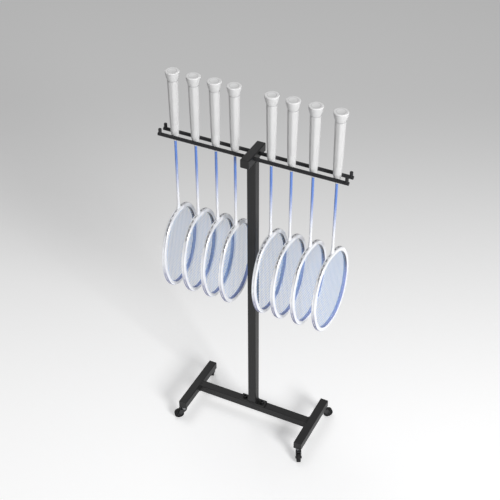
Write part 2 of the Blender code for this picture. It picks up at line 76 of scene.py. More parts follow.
import bmesh
import bpy
import numpy as np
from bpy.props import FloatProperty, FloatVectorProperty, IntProperty, PointerProperty
from mathutils import Matrix, Vector

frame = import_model()

CORNERS = ("front_left", "front_right", "rear_left", "rear_right")
TUBES = ("post", "crosshead", "crossbeam", "foot_left", "foot_right")
RACKETS = sorted(name for name in frame["bodies"] if name.startswith("racket_"))
JOINTS = {joint["name"]: joint for joint in frame["joints"]}

# Attributes that a shape keeps for its materials and node trees
OWN_PLACE = "own_place"
OUTWARD = "outward"
AIM = "aim"

# How finely round shapes are divided
WHEEL_SIDES = 72
SHAFT_SIDES = 32
GRIP_SIDES = 64
CONE_SIDES = 48
STRING_SIDES = 5
SADDLE_SIDES = 6
GROMMET_SIDES = 8
TYRE_STEPS = 4
CORNER_STEPS = 5
GROOVE_POINTS = 9
FLARE_RINGS = 18
BUTT_EDGE_RINGS = 6
BUTT_FLARE_RINGS = 13
GRIP_RINGS = 24
CONE_RINGS = 26
SADDLE_POINTS = 6
POINTS_PER_CROSSING = 4
HOOP_STATIONS = 176
PAINT_STATIONS = 720
HOLE_STATIONS = 1440

# Small sizes in metres, beside those that a user would change
BOLT_FROM_MIDDLE = 0.028
WEB_SINK = 0.0015  # how far the web lies under the wheel's face
RIB_THICKNESS = 0.0009
RIB_DEPTH = 0.0014
TYRE_SHOULDER = 0.0012  # radius of the tyre's rounded edge
GROMMET_LENGTH = 0.0026
BUTT_PLATE_SINK = 0.0004
GRIP_END_DRAW = 0.0006  # how much narrower the grip's two ends are
SADDLE_SINK = 0.0001  # how far a saddle stays under the outer wall
RACKET_SINK = 0.00002  # how far a racket hangs under its solid, to stay inside it
END_REACH = 0.0008  # how close to a solid's end its end points lie

# Shares, angles and rates
WELD_OVERLAP = 2.2  # length of a drop, in steps
GROMMET_INSET = 0.47  # how far inside the frame's middle a sleeve lies, in frame walls
BUTT_PLATE_SHARE = 0.60  # radius of the plate in the butt's radius
BORE_SHARE = 0.98  # the cone's bore in the shaft's diameter, so that no gap shows
FLAT_REACH = 15.5  # degrees from the middle of the grip's flat to its soft corner
GRIP_SOFT_START = 0.012  # share of the grip over which its eight sides form
TURNED_MARKS = 9000.0  # radians of turned marks in a metre
SPANGLES = 700.0  # spangles of zinc in a metre

# Colours of wear, dust and small parts, beside those that a user would change
RUBBED_STEEL = (0.06, 0.06, 0.06)
RUBBED_RAIL = (0.10, 0.10, 0.105)
RUBBED_FORK = (0.09, 0.09, 0.095)
DULL_ZINC = (0.40, 0.41, 0.43)
WHEEL_DUST = (0.10, 0.095, 0.09)
HAZY_NYLON = (0.66, 0.72, 0.95)
SLEEVE_PALE = (0.96, 0.96, 0.98)
SLEEVE_DULL = (0.86, 0.87, 0.92)
WORN_GRIP = (0.36, 0.36, 0.37)
BUTT_RING = (0.52, 0.52, 0.53)
HAZY_CONE = (0.68, 0.68, 0.70)

# Stage
FLOOR_REACH = 40.0  # metres from the middle to the floor's edges
FLOOR_FADE = (-0.35, 2.05)  # metres behind the middle where the floor's tone changes
AIM_HEIGHT = 0.6  # metres above the floor that the lamps aim at
SENSOR_WIDTH = 36.0  # millimetres


# Sizes and colours that a user would change

def length(name, description, default):
    """A length in metres as a property."""
    return FloatProperty(name=name, description=description, default=default, min=0.0,
                         unit="LENGTH", precision=5)


def share(name, description, default):
    """A share from 0 to 1 as a property."""
    return FloatProperty(name=name, description=description, default=default, min=0.0, max=1.0,
                         subtype="FACTOR")


def number(name, description, default, lowest=1.0):
    """A plain number as a property."""
    return FloatProperty(name=name, description=description, default=default, min=lowest)


def whole(name, description, default, lowest):
    """A whole number as a property."""
    return IntProperty(name=name, description=description, default=default, min=lowest)


def power(name, description, default):
    """A lamp's power in watts as a property."""
    return FloatProperty(name=name, description=description, default=default, min=0.0,
                         unit="POWER")


def angle(name, description, degrees):
    """An angle as a property."""
    return FloatProperty(name=name, description=description, default=radians(degrees),
                         subtype="ANGLE")


def colour(name, description, default):
    """A colour as a property."""
    return FloatVectorProperty(name=name, description=description, default=default,
                               min=0.0, max=1.0, size=3, subtype="COLOR")


class StandLook(bpy.types.PropertyGroup):
    """Paint of the stand."""

    tube_paint: colour("Tube paint", "Powder coat of the square tubes", (0.0098, 0.0098, 0.0103))
    rail_paint: colour("Rail paint", "Powder coat of the round rails", (0.022, 0.022, 0.024))
    plate_paint: colour("Plate paint", "Powder coat of the plate under the post",
                        (0.007, 0.007, 0.007))
    bolt_black: colour("Bolt finish", "Blackened steel of the bolts", (0.012, 0.012, 0.013))
    tube_gloss: share("Tube gloss", "How strongly the coat of the tubes mirrors", 0.39)
    rail_gloss: share("Rail gloss", "How strongly the coat of the rails mirrors", 0.20)
    paint_grain: length("Paint grain", "Size of the dimples in the powder coat", 0.0014)
    paint_roughness: share("Paint roughness", "Roughness of the powder coat", 0.44)
    weld_width: length("Weld width", "Width of a weld bead", 0.0030)
    weld_step: length("Weld step", "Distance from one ripple of a weld to the next", 0.0016)


class CasterLook(bpy.types.PropertyGroup):
    """Casters."""

    fork_black: colour("Fork", "Coated steel of the forks", (0.016, 0.016, 0.018))
    zinc: colour("Zinc", "Plated steel of stems and axles", (0.58, 0.59, 0.60))
    tyre_black: colour("Tyre", "Soft tread of the wheels", (0.006, 0.006, 0.007))
    hub_grey: colour("Hub", "Moulded core of the wheels", (0.014, 0.014, 0.015))
    wheel_gloss: share("Wheel gloss", "How strongly the wheels mirror", 0.22)
    wheel_diameter: length("Wheel diameter", "Diameter over the tread", 0.02934)
    wheel_width: length("Wheel width", "Width over the hub", 0.0125)
    hub_diameter: length("Hub diameter", "Diameter of the raised hub", 0.010)
    bore_diameter: length("Bore diameter", "Diameter of the axle's bore", 0.0046)
    tyre_height: length("Tyre height", "Thickness of the tread", 0.0035)
    ribs: whole("Ribs", "Ribs between hub and tyre on each face", 9, 0)


class RacketLook(bpy.types.PropertyGroup):
    """Rackets."""

    racket_length: length("Racket length", "From the butt to the far end of the head", 0.680)
    head_length: length("Head length", "Outer length of the head", 0.2525)
    head_width: length("Head width", "Outer width of the head", 0.2004)
    frame_wall: length("Frame wall", "Width of the frame in the plane of the head", 0.0122)
    frame_depth: length("Frame depth", "Depth of the frame across the plane of the head", 0.011)
    frame_corner: length("Frame corner", "Radius of the frame's rounded corners", 0.0024)
    head_square_across: number("Fullness across",
                               "Roundness of the head's width, 2 is an ellipse", 2.4)
    head_square_along: number("Fullness along",
                              "Roundness of the head's length, 2 is an ellipse", 1.9)
    head_taper: share("Head taper", "How much wider the head is towards the throat", 0.02)
    shaft_diameter: length("Shaft diameter", "Diameter of the shaft", 0.0072)
    throat_length: length("Throat length", "Height over which the shaft flares into the frame",
                          0.028)
    throat_width: length("Throat width", "Width of the flare where it meets the frame", 0.026)
    throat_depth: length("Throat depth", "Depth of the flare where it meets the frame", 0.0098)
    throat_flare: number("Throat flare", "How late the shaft widens, 1 is straight", 3.2)
    groove_width: length("Groove width", "Width of the groove round the outside of the frame",
                         0.0046)
    groove_depth: length("Groove depth", "Depth of the groove round the outside of the frame",
                         0.0009)
    main_strings: whole("Main strings", "Strings along the racket", 22, 2)
    cross_strings: whole("Cross strings", "Strings across the racket", 22, 2)
    main_pitch: length("Main pitch", "Distance between main strings", 0.0079)
    cross_pitch: length("Cross pitch", "Distance between cross strings", 0.0102)
    string_diameter: length("String diameter", "Thickness of a string", 0.00078)
    weave: length("Weave", "How far a string bends aside where it crosses another", 0.00030)
    saddle_width: length("Saddle width", "Width of the saddle under each outer run of the string",
                         0.0044)
    grommet_diameter: length("Grommet diameter", "Width of the sleeve round each string", 0.0020)
    butt_diameter: length("Butt diameter", "Widest part of the butt", 0.038)
    butt_length: length("Butt length", "From the end of the butt to the grip", 0.0255)
    butt_round: length("Butt round", "Radius of the butt's rim", 0.0015)
    butt_flare: number("Butt flare", "How late the butt draws in, 1 is straight", 1.7)
    seam_width: length("Seam width", "Width of the seam between butt and grip", 0.0020)
    seam_depth: length("Seam depth", "Depth of the seam between butt and grip", 0.0005)
    grip_width: length("Grip width", "Across the flats of the grip at the butt", 0.0272)
    grip_end_width: length("Grip end width", "Across the flats of the grip at its lower end",
                           0.0234)
    grip_end: length("Grip end", "From the end of the butt to the end of the grip", 0.155)
    cone_length: length("Cone length", "Length of the cone below the grip", 0.052)
    cone_tip: length("Cone tip", "Diameter of the cone's lower end", 0.0085)
    cone_bulge: number("Cone bulge", "Roundness of the cone, 1 is straight", 3.2)
    frame_white: colour("Frame paint", "Lacquer of the frame", (0.96, 0.97, 1.0))
    outer_grey: colour("Outer wall", "Lacquer round the outside of the frame",
                       (0.94, 0.955, 0.99))
    pearl: share("Pearl", "How metallic the lacquer of the outer wall is", 0.65)
    # Painted shade: the outer wall turns a dark bluish tone towards the far end, which hangs
    # lowest, for the shade on its underside.
    underside_painted_shade: colour("Underside painted shade", "Outside of the frame round its far end", (0.28, 0.30, 0.50))
    # Painted shade: the groove near the throat is painted dark for the shade in that recess.
    groove_painted_shade: colour("Groove", "Painted shade in the groove near the throat", (0.032, 0.032, 0.042))
    # Painted shade: the inner wall near the throat is painted dark for the shadow that the
    # neighbouring racket heads cast on it.
    throat_painted_shade: colour("Throat painted shade", "Inside of the frame near the throat",
                       (0.045, 0.045, 0.052))
    inner_blue: colour("Inner blue", "Inside of the frame near its far end", (0.335, 0.40, 0.72))
    shaft_blue: colour("Shaft blue", "Lacquer of the upper shaft", (0.11, 0.24, 0.68))
    string_tint: colour("Strings", "Nylon of the strings", (0.32, 0.58, 1.0))
    grip_white: colour("Grip", "Soft sleeve of the grip", (0.71, 0.71, 0.71))
    grip_gloss: share("Grip gloss", "How strongly the grips mirror", 0.35)
    # Painted light: the whole top of the butt is painted paler than the grip for the light falling
    # on it from above.
    butt_top_painted_light: colour("Butt top painted light", "End of the butt", (0.95, 0.95, 0.95))
    cone_white: colour("Cone", "Moulding of the cone", (0.73, 0.73, 0.73))


class StageLook(bpy.types.PropertyGroup):
    """Floor, lights and camera."""

    floor_near: colour("Floor, near", "Floor in front of the rack", (1.0, 1.0, 1.0))
    floor_far: colour("Floor, far", "Floor behind the rack", (0.59, 0.59, 0.59))
    floor_bounce: share("Floor bounce",
                        "Share of its light that the floor throws back on the rack", 0.80)
    wall: share("Wall", "Tone in which the room behind the floor is seen", 0.47)
    floor_glow: share("Floor glow",
                      "How much of the floor's own colour is seen whatever the light", 0.10)
    glow_strength: number("Glow strength", "Strength of the floor's own colour", 3.75, 0.0)
    ambient: number("Ambient", "Strength of the surrounding light", 0.20, 0.0)
    key_power: power("Key light", "Power of the large lamp on the right", 232.0)
    key_azimuth: angle("Key azimuth", "Turn of the key light round the rack", 60.0)
    key_elevation: angle("Key elevation", "How high the key light stands", 22.0)
    key_distance: length("Key distance", "How far away the key light stands", 5.5)
    key_size: length("Key size", "Width of the key light", 1.6)
    fill_power: power("Fill light", "Power of the lamp behind on the left", 44.0)
    fill_azimuth: angle("Fill azimuth", "Turn of the fill light round the rack", 235.0)
    fill_elevation: angle("Fill elevation", "How high the fill light stands", 62.0)
    fill_distance: length("Fill distance", "How far away the fill light stands", 4.5)
    fill_size: length("Fill size", "Width of the fill light", 2.4)
    azimuth: angle("Azimuth", "Turn of the camera round the rack", 26.356)
    elevation: angle("Elevation", "How far the camera looks down", 37.572)
    roll: angle("Roll", "Tilt of the camera", -0.2455)
    lens: FloatProperty(name="Lens", description="Focal length for a 36 mm sensor",
                        default=80.94, min=1.0, subtype="DISTANCE_CAMERA")
    place: FloatVectorProperty(name="Camera place", description="Where the camera stands",
                               size=3, default=(1.0747, -2.1889, 2.5211), subtype="TRANSLATION")


LOOKS = {"rack_stand": StandLook, "rack_casters": CasterLook,
         "rack_rackets": RacketLook, "rack_stage": StageLook}


# Node trees, written as plain arithmetic

class Wire:
    """An output of a node that takes part in arithmetic; each step adds a Math node."""

    def __init__(self, graph, socket):
        self.graph = graph
        self.socket = socket

    def of(self, output):
        """Another output of the same node."""
        return Wire(self.graph, self.socket.node.outputs[output])

    def math(self, operation, *others):
        """The result of a Math node that starts from this output."""
        return self.graph.node("ShaderNodeMath", {"operation": operation},
                               dict(enumerate((self, *others))))

    def after(self, operation, first):
        """The result of a Math node that this output comes second in."""
        return self.graph.node("ShaderNodeMath", {"operation": operation}, {0: first, 1: self})

    def __add__(self, other):
        return self.math("ADD", other)

    def __sub__(self, other):
        return self.math("SUBTRACT", other)

    def __mul__(self, other):
        return self.math("MULTIPLY", other)

    def __truediv__(self, other):
        return self.math("DIVIDE", other)

    def __pow__(self, other):
        return self.math("POWER", other)

    def __gt__(self, other):
        return self.math("GREATER_THAN", other)

    def __abs__(self):
        return self.math("ABSOLUTE")

    def __rsub__(self, other):
        return self.after("SUBTRACT", other)

    def __rtruediv__(self, other):
        return self.after("DIVIDE", other)

    __radd__ = __add__
    __rmul__ = __mul__

    def ramp(self, low, high):
        """0 below low and 1 above high, with a soft change between; low may be the larger."""
        return self.graph.node("ShaderNodeMapRange", {"interpolation_type": "SMOOTHSTEP"},
                               {"Value": self, "From Min": low, "From Max": high})


class Graph:
    """A node tree that is being drawn, for a material, a world or a shape."""

    def __init__(self, tree):
        self.tree = tree

    def node(self, kind, settings, sockets):
        """Adds a node: its settings, then the value or link of each named or numbered socket."""
        made = self.tree.nodes.new(kind)
        for name, value in settings.items():
            setattr(made, name, value)
        for key, value in sockets.items():
            socket = made.inputs[key]
            if isinstance(value, Wire):
                self.tree.links.new(value.socket, socket)
            elif socket.type == "RGBA" and len(value) == 3:
                socket.default_value = (*value, 1.0)
            else:
                socket.default_value = value
        return Wire(self, made.outputs[0]) if made.outputs else None

    def parts(self, vector):
        """The three numbers of a vector."""
        split = self.node("ShaderNodeSeparateXYZ", {}, {0: vector})
        return split, split.of("Y"), split.of("Z")

    def vector(self, x, y, z):
        """A vector from three numbers."""
        return self.node("ShaderNodeCombineXYZ", {}, {"X": x, "Y": y, "Z": z})

    def blend(self, factor, first, second):
        """One colour giving way to another."""
        mixed = self.node("ShaderNodeMix", {"data_type": "RGBA"}, {0: factor, 6: first, 7: second})
        return mixed.of(2)

    def place(self):
        """Position on the rack, in metres."""
        return self.node("ShaderNodeTexCoord", {}, {}).of("Object")

    def own_place(self):
        """Position in the piece's own space, as stored when it was made."""
        return self.node("ShaderNodeAttribute", {"attribute_name": OWN_PLACE}, {}).of("Vector")

    def stretched(self, vector, x, y, z):
        """A vector with each of its numbers scaled."""
        return self.node("ShaderNodeMapping", {"vector_type": "POINT"},
                         {"Vector": vector, "Scale": (x, y, z)})

    def noise(self, vector, size, detail=2.0):
        """Even noise from 0 to 1 with features of a size in metres."""
        return self.node("ShaderNodeTexNoise", {},
                         {"Vector": vector, "Scale": 1.0 / size, "Detail": detail})

    def bump(self, height, distance, strength):
        """A bumped normal from a height between 0 and 1."""
        return self.node("ShaderNodeBump", {},
                         {"Height": height, "Distance": distance, "Strength": strength})

    def joined(self, first, second):
        """Two shapes as one."""
        both = self.node("GeometryNodeJoinGeometry", {}, {0: first})
        self.tree.links.new(second.socket, both.socket.node.inputs[0])
        return both


def from_axis(x, y):
    """Distance from the Z axis."""
    return (x * x + y * y).math("SQRT")


def toned(tint, factor, lift=0.0):
    """A colour times a factor, and lifted."""
    return tuple(factor * part + lift for part in tint)


def fresh_graph(holder):
    """The emptied node tree of a material or a world."""
    holder.use_nodes = True
    holder.node_tree.nodes.clear()
    return Graph(holder.node_tree)


def finish(name, draw):
    """A material whose surface values come from a function that draws them."""
    material = bpy.data.materials.new(name)
    graph = fresh_graph(material)
    shader = graph.node("ShaderNodeBsdfPrincipled", {}, draw(graph))
    graph.node("ShaderNodeOutputMaterial", {}, {"Surface": shader})
    return material


def placed(name, data):
    """A new object in the scene."""
    made = bpy.data.objects.new(name, data)
    bpy.context.scene.collection.objects.link(made)
    return made


def as_shown(holder):
    """A plain mesh of an object with its modifiers applied."""
    shown = holder.evaluated_get(bpy.context.evaluated_depsgraph_get())
    return bpy.data.meshes.new_from_object(shown)


def grown(name, draw, sizes, material, start=None):
    """The mesh that a geometry tree makes from named sizes and, where it has one, a start mesh."""
    tree = bpy.data.node_groups.new(name, "GeometryNodeTree")
    tree.interface.new_socket("Geometry", in_out="INPUT", socket_type="NodeSocketGeometry")
    inputs = {}
    for key, value in sizes.items():
        kind = "NodeSocketInt" if isinstance(value, int) else "NodeSocketFloat"
        inputs[key] = tree.interface.new_socket(key, in_out="INPUT", socket_type=kind)
    tree.interface.new_socket("Geometry", in_out="OUTPUT", socket_type="NodeSocketGeometry")
    graph = Graph(tree)
    source = graph.node("NodeGroupInput", {}, {})
    shape = draw(graph, source, {key: source.of(key) for key in sizes})
    shape = graph.node("GeometryNodeRealizeInstances", {}, {0: shape})
    shape = graph.node("GeometryNodeSetMaterial", {}, {"Geometry": shape, "Material": material})
    graph.node("NodeGroupOutput", {}, {"Geometry": shape})
    holder = placed(name, start or bpy.data.meshes.new(name))
    modifier = holder.modifiers.new(name, "NODES")
    modifier.node_group = tree
    for key, value in sizes.items():
        modifier[inputs[key].identifier] = value
    mesh = as_shown(holder)
    holder.modifiers.remove(modifier)
    bpy.data.objects.remove(holder)
    return mesh


# Meshes and pieces

def skin(name, rings, closed=False):
    """Mesh through equal rings of points, closed into a loop or with flat ends."""
    rings = np.asarray(rings, dtype=float)
    count, sides = rings.shape[:2]
    index = np.arange(count * sides).reshape(count, sides)
    following = np.roll(index, -1, axis=0)
    faces = []
    for row in range(count if closed else count - 1):
        lower, upper = index[row], following[row]
        lower_next, upper_next = np.roll(lower, -1), np.roll(upper, -1)
        faces.extend(np.stack([lower, lower_next, upper_next, upper], axis=1).tolist())
    if not closed:
        faces += [index[0][::-1].tolist(), index[-1].tolist()]
    mesh = bpy.data.meshes.new(name)
    mesh.from_pydata(rings.reshape(-1, 3).tolist(), [], faces)
    shape = bmesh.new()
    shape.from_mesh(mesh)
    bmesh.ops.recalc_face_normals(shape, faces=shape.faces)
    shape.to_mesh(mesh)
    shape.free()
    return mesh


def smooth(mesh, hard_degrees=50):
    """Smooth shading, apart from edges sharper than an angle."""
    mesh.shade_smooth()
    mesh.set_sharp_from_angle(angle=radians(hard_degrees))
    return mesh


def oval(width_x, width_y, height, sides):
    """Ring of points round the Z axis, at a height."""
    turns = np.arange(sides) * 2 * pi / sides
    x, y = width_x / 2 * np.cos(turns), width_y / 2 * np.sin(turns)
    return np.stack([x, y, np.full(sides, height)], axis=1)


def turned(name, profile, sides):
    """Round piece on Z from (diameter, height) points; the outline closes on itself."""
    rings = [oval(diameter, diameter, height, sides) for diameter, height in profile]
    return skin(name, rings, closed=True)


def rectangle(low, high):
    """Corners of a rectangle in order, from two opposite ones."""
    return (low[0], low[1]), (high[0], low[1]), (high[0], high[1]), (low[0], high[1])


def path_mesh(name, loops, closed=True):
    """Mesh of open or closed paths for a tree to follow."""
    points, edges = [], []
    for loop in loops:
        first, count = len(points), len(loop)
        points.extend(loop)
        edges.extend((first + step, first + (step + 1) % count)
                     for step in range(count if closed else count - 1))
    mesh = bpy.data.meshes.new(name)
    mesh.from_pydata(points, edges, [])
    return mesh


def fused(first, second):
    """The union of two meshes."""
    holders = [placed(mesh.name, mesh) for mesh in (first, second)]
    union = holders[0].modifiers.new("union", "BOOLEAN")
    union.operation = "UNION"
    union.solver = "EXACT"
    union.object = holders[1]
    mesh = as_shown(holders[0])
    for holder in holders:
        bpy.data.objects.remove(holder)
    return mesh


def points_of(mesh):
    """Every point of a mesh, as rows of x, y and z."""
    points = np.empty(len(mesh.vertices) * 3, dtype=np.float32)
    mesh.vertices.foreach_get("co", points)
    return points.reshape(-1, 3)


def stored(mesh, name, values):
    """Keeps a number or a vector for each point of a mesh, for materials and node trees."""
    values = np.asarray(values, dtype=np.float32)
    kind, channel = ("FLOAT_VECTOR", "vector") if values.ndim == 2 else ("FLOAT", "value")
    mesh.attributes.new(name, kind, "POINT").data.foreach_set(channel, values.ravel())
    return mesh


def stored_place(mesh):
    """Keeps each point's place in the piece's own space, for the materials."""
    return stored(mesh, OWN_PLACE, points_of(mesh))


def piece(name, mesh, body, material=None, nodes=(), where=None):
    """A finished piece: its place goes into its mesh, and it rides on its body."""
    mesh = mesh.copy()
    mesh.name = name
    if where:
        mesh.transform(where)
    if material:
        mesh.materials.clear()
        mesh.materials.append(material)
    made = placed(name, mesh)
    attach(made, body)
    if nodes:
        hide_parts(*nodes)
    return made


def paint(nodes, material):
    """Gives solids of the packed model another material."""
    for name in nodes:
        for slot in frame["nodes"][name].material_slots:
            slot.material = material


# Stand

def powder_coat(name, tint, look):
    """Dimpled satin paint, clouded a little and rubbed in places."""
    def draw(graph):
        place = graph.place()
        cloud = graph.noise(place, size=0.09, detail=3.0)
        dimples = graph.noise(place, size=look.paint_grain, detail=1.0)
        streaked = graph.stretched(place, 1.0, 1.0, 0.25)
        scuffs = graph.noise(streaked, size=0.004, detail=4.0).ramp(0.63, 0.74)
        base = graph.blend(cloud.ramp(0.3, 0.7), toned(tint, 0.82), tint)
        return {"Base Color": graph.blend(scuffs * 0.10, base, toned(tint, 1.5, lift=0.01)),
                "Roughness": look.paint_roughness + (cloud - 0.5) * 0.10 + scuffs * 0.06,
                "Specular IOR Level": look.tube_gloss,
                "Normal": graph.bump(dimples, distance=0.00012, strength=0.35)}
    return finish(name, draw)


def blackened_steel(name, tint):
    """Dark oiled steel with fine turned marks."""
    def draw(graph):
        place = graph.place()
        x, y, z = graph.parts(place)
        radius = from_axis(abs(x) - BOLT_FROM_MIDDLE, y)
        marks = (radius * TURNED_MARKS).math("SINE") * 0.5 + 0.5
        worn = graph.noise(place, size=0.003, detail=3.0)
        return {"Base Color": graph.blend(worn.ramp(0.5, 0.8) * 0.3, tint, RUBBED_STEEL),
                "Metallic": 0.6, "Roughness": 0.30 + worn * 0.22,
                "Normal": graph.bump(marks, distance=0.00003, strength=0.4)}
    return finish(name, draw)


class RACK_OT_tubes(bpy.types.Operator):
    """Paint the square tubes and the plate under the post"""

    bl_idname = "racket_rack.tubes"
    bl_label = "Paint tubes"

    def execute(self, context):
        look = context.scene.rack_stand
        paint(TUBES, powder_coat("tube_powder_coat", look.tube_paint, look))
        paint(["post_flange"], powder_coat("plate_powder_coat", look.plate_paint, look))
        return {"FINISHED"}


class RACK_OT_rails(bpy.types.Operator):
    """Paint the two rails, rubbed bright where the rackets hang"""

    bl_idname = "racket_rack.rails"
    bl_label = "Paint rails"

    def execute(self, context):
        look = context.scene.rack_stand
        seats = [sum(end[0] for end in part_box(f"{racket}_cone")) / 2 for racket in RACKETS]

        def draw(graph):
            place = graph.place()
            x, y, z = graph.parts(place)
            dimples = graph.noise(place, size=look.paint_grain, detail=1.0)
            streaks = graph.noise(graph.stretched(place, 6.0, 120.0, 120.0), size=1.0, detail=3.0)
            near_seat = sum(abs(x - seat).ramp(0.016, 0.006) for seat in seats)
            rubbed = near_seat * abs(y).ramp(0.020, 0.013) * streaks.ramp(0.35, 0.7)
            bare = rubbed * 0.35 + streaks * 0.10
            return {"Base Color": graph.blend(bare, look.rail_paint, RUBBED_RAIL),
                    "Roughness": look.paint_roughness + 0.02 - rubbed * 0.16 + streaks * 0.08,
                    "Specular IOR Level": look.rail_gloss,
                    "Normal": graph.bump(dimples, distance=0.00010, strength=0.3)}

        paint(["front_rail", "rear_rail"], finish("rail_powder_coat", draw))
        return {"FINISHED"}


def draw_weld(graph, source, sizes):
    """Overlapping flat drops along each path."""
    path = graph.node("GeometryNodeMeshToCurve", {}, {"Mesh": source})
    path = graph.node("GeometryNodeResampleCurve", {"mode": "LENGTH"},
                      {"Curve": path, "Length": sizes["Step"]})
    drop = graph.node("GeometryNodeMeshIcoSphere", {}, {"Radius": 0.5, "Subdivisions": 2})
    drop = graph.node("GeometryNodeSetShadeSmooth", {}, {0: drop})
    tangent = graph.node("GeometryNodeInputTangent", {}, {})
    aim = graph.node("FunctionNodeAlignRotationToVector", {"axis": "X"}, {"Vector": tangent})
    size = graph.vector(sizes["Step"] * WELD_OVERLAP, sizes["Width"], sizes["Width"])
    return graph.node("GeometryNodeInstanceOnPoints", {},
                      {"Points": path, "Instance": drop, "Rotation": aim, "Scale": size})


class RACK_OT_welds(bpy.types.Operator):
    """Lay weld beads where the tubes meet"""

    bl_idname = "racket_rack.welds"
    bl_label = "Lay welds"

    def execute(self, context):
        look = context.scene.rack_stand
        post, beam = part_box("post"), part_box("crossbeam")
        round_post = rectangle(*(corner[:2] for corner in post))
        round_beam = rectangle(*(corner[1:] for corner in beam))
        loops = [[(x, y, end[2]) for x, y in round_post] for end in post]
        loops += [[(end[0], y, z) for y, z in round_beam] for end in beam]
        sizes = {"Step": look.weld_step, "Width": look.weld_width}
        material = powder_coat("weld_powder_coat", look.tube_paint, look)
        mesh = grown("welds", draw_weld, sizes, material, path_mesh("weld_path", loops))
        piece("weld_beads", mesh, "stand")
        return {"FINISHED"}


class RACK_OT_bolts(bpy.types.Operator):
    """Blacken the two bolts of the plate"""

    bl_idname = "racket_rack.bolts"
    bl_label = "Finish bolts"

    def execute(self, context):
        look = context.scene.rack_stand
        steel = blackened_steel("blackened_bolt", look.bolt_black)
        paint(["post_bolt_left", "post_bolt_right"], steel)
        return {"FINISHED"}


# Casters

def spindle_place(corner):
    """Matrix from a wheel's own space, axle along Z, to its place on the rack."""
    joint = JOINTS[f"roll_{corner}"]
    turn = Vector(joint["axis"]).to_track_quat("Z", "Y").to_matrix().to_4x4()
    return Matrix.Translation(joint["pos_m"]) @ turn


def rim_diameter(look):
    """Diameter where the tyre meets the moulded core."""
    return look.wheel_diameter - 2 * look.tyre_height


def web_height(look):
    """Height of the sunk face between hub and rim, from the wheel's middle."""
    return look.wheel_width / 2 - WEB_SINK


def wheel_shape(look):
    """Wheel with a bore, a raised hub, a sunk web, a rim and a rounded tyre."""
    face, web = look.wheel_width / 2, web_height(look)
    hub, rim = look.hub_diameter, rim_diameter(look)
    edge_width, edge_height = 0.0004, 0.0003
    hub_slope, rim_slope, rim_sink = 0.0016, 0.0010, 0.0004
    lip_width, lip_sink, tyre_edge = 0.0006, 0.00015, 0.0014
    profile = [(look.bore_diameter, face), (hub - edge_width, face), (hub, face - edge_height),
               (hub + hub_slope, web), (rim - rim_slope, web), (rim, face - rim_sink),
               (rim + lip_width, face - lip_sink)]
    for step in range(TYRE_STEPS + 1):
        turn = pi / 2 * step / TYRE_STEPS
        profile.append((look.wheel_diameter - 2 * TYRE_SHOULDER * (1 - sin(turn)),
                        face - tyre_edge + TYRE_SHOULDER * cos(turn)))
    profile += [(diameter, -height) for diameter, height in reversed(profile)]
    return smooth(turned("wheel", profile, WHEEL_SIDES), hard_degrees=30)


def draw_ribs(graph, source, sizes):
    """Thin ribs round the hub, on both faces."""
    ring = graph.node("GeometryNodeMeshCircle", {},
                      {"Vertices": sizes["Count"], "Radius": sizes["Reach"]})
    points = graph.joined(*(
        graph.node("GeometryNodeSetPosition", {}, {
            "Geometry": ring, "Offset": graph.vector(0.0, 0.0, sizes["Height"] * side)})
        for side in (-1.0, 1.0)))
    rib = graph.node("GeometryNodeMeshCube", {}, {
        "Size": graph.vector(sizes["Length"], sizes["Thickness"], sizes["Depth"])})
    x, y, z = graph.parts(graph.node("GeometryNodeInputPosition", {}, {}))
    aim = graph.node("FunctionNodeAlignRotationToVector", {"axis": "X"},
                     {"Vector": graph.vector(x, y, 0.0)})
    return graph.node("GeometryNodeInstanceOnPoints", {},
                      {"Points": points, "Instance": rib, "Rotation": aim})


def coated_fork(look):
    """Thin dark coat, worn a little at random."""
    def draw(graph):
        worn = graph.noise(graph.place(), size=0.004, detail=4.0)
        return {"Base Color": graph.blend(worn.ramp(0.6, 0.8) * 0.3, look.fork_black, RUBBED_FORK),
                "Roughness": 0.30 + worn * 0.2,
                "Normal": graph.bump(worn, distance=0.00008, strength=0.3)}
    return finish("coated_fork", draw)


def zinc_plate(look):
    """Plated steel with a faint spangle."""
    def draw(graph):
        spangle = graph.node("ShaderNodeTexVoronoi", {},
                             {"Vector": graph.place(), "Scale": SPANGLES})
        shade = graph.parts(spangle.of("Color"))[0]
        return {"Base Color": graph.blend(shade * 0.35, look.zinc, DULL_ZINC), "Metallic": 1.0,
                "Roughness": 0.24 + shade * 0.16}
    return finish("zinc_plate", draw)


def moulded_wheel(look):
    """Dark core and softer tread, dusty where it rolls, with a fine seam round the middle."""
    tyre_foot, blur = rim_diameter(look) / 2, 0.0002

    def draw(graph):
        own = graph.own_place()
        x, y, z = graph.parts(own)
        tyre = from_axis(x, y).ramp(tyre_foot - blur, tyre_foot + blur)
        dirt = graph.noise(own, size=0.0035, detail=4.0)
        rolled = abs(z).ramp(0.0052, 0.0030) * tyre * dirt.ramp(0.3, 0.7)
        seam = abs(z).ramp(0.0004, 0.0001) * tyre
        base = graph.blend(tyre, look.hub_grey, look.tyre_black)
        return {"Base Color": graph.blend(rolled * 0.35, base, WHEEL_DUST),
                "Roughness": 0.36 + tyre * 0.22 + rolled * 0.12,
                "Specular IOR Level": look.wheel_gloss,
                "Normal": graph.bump(dirt * 0.3 + seam, distance=0.00012, strength=0.5)}
    return finish("moulded_wheel", draw)


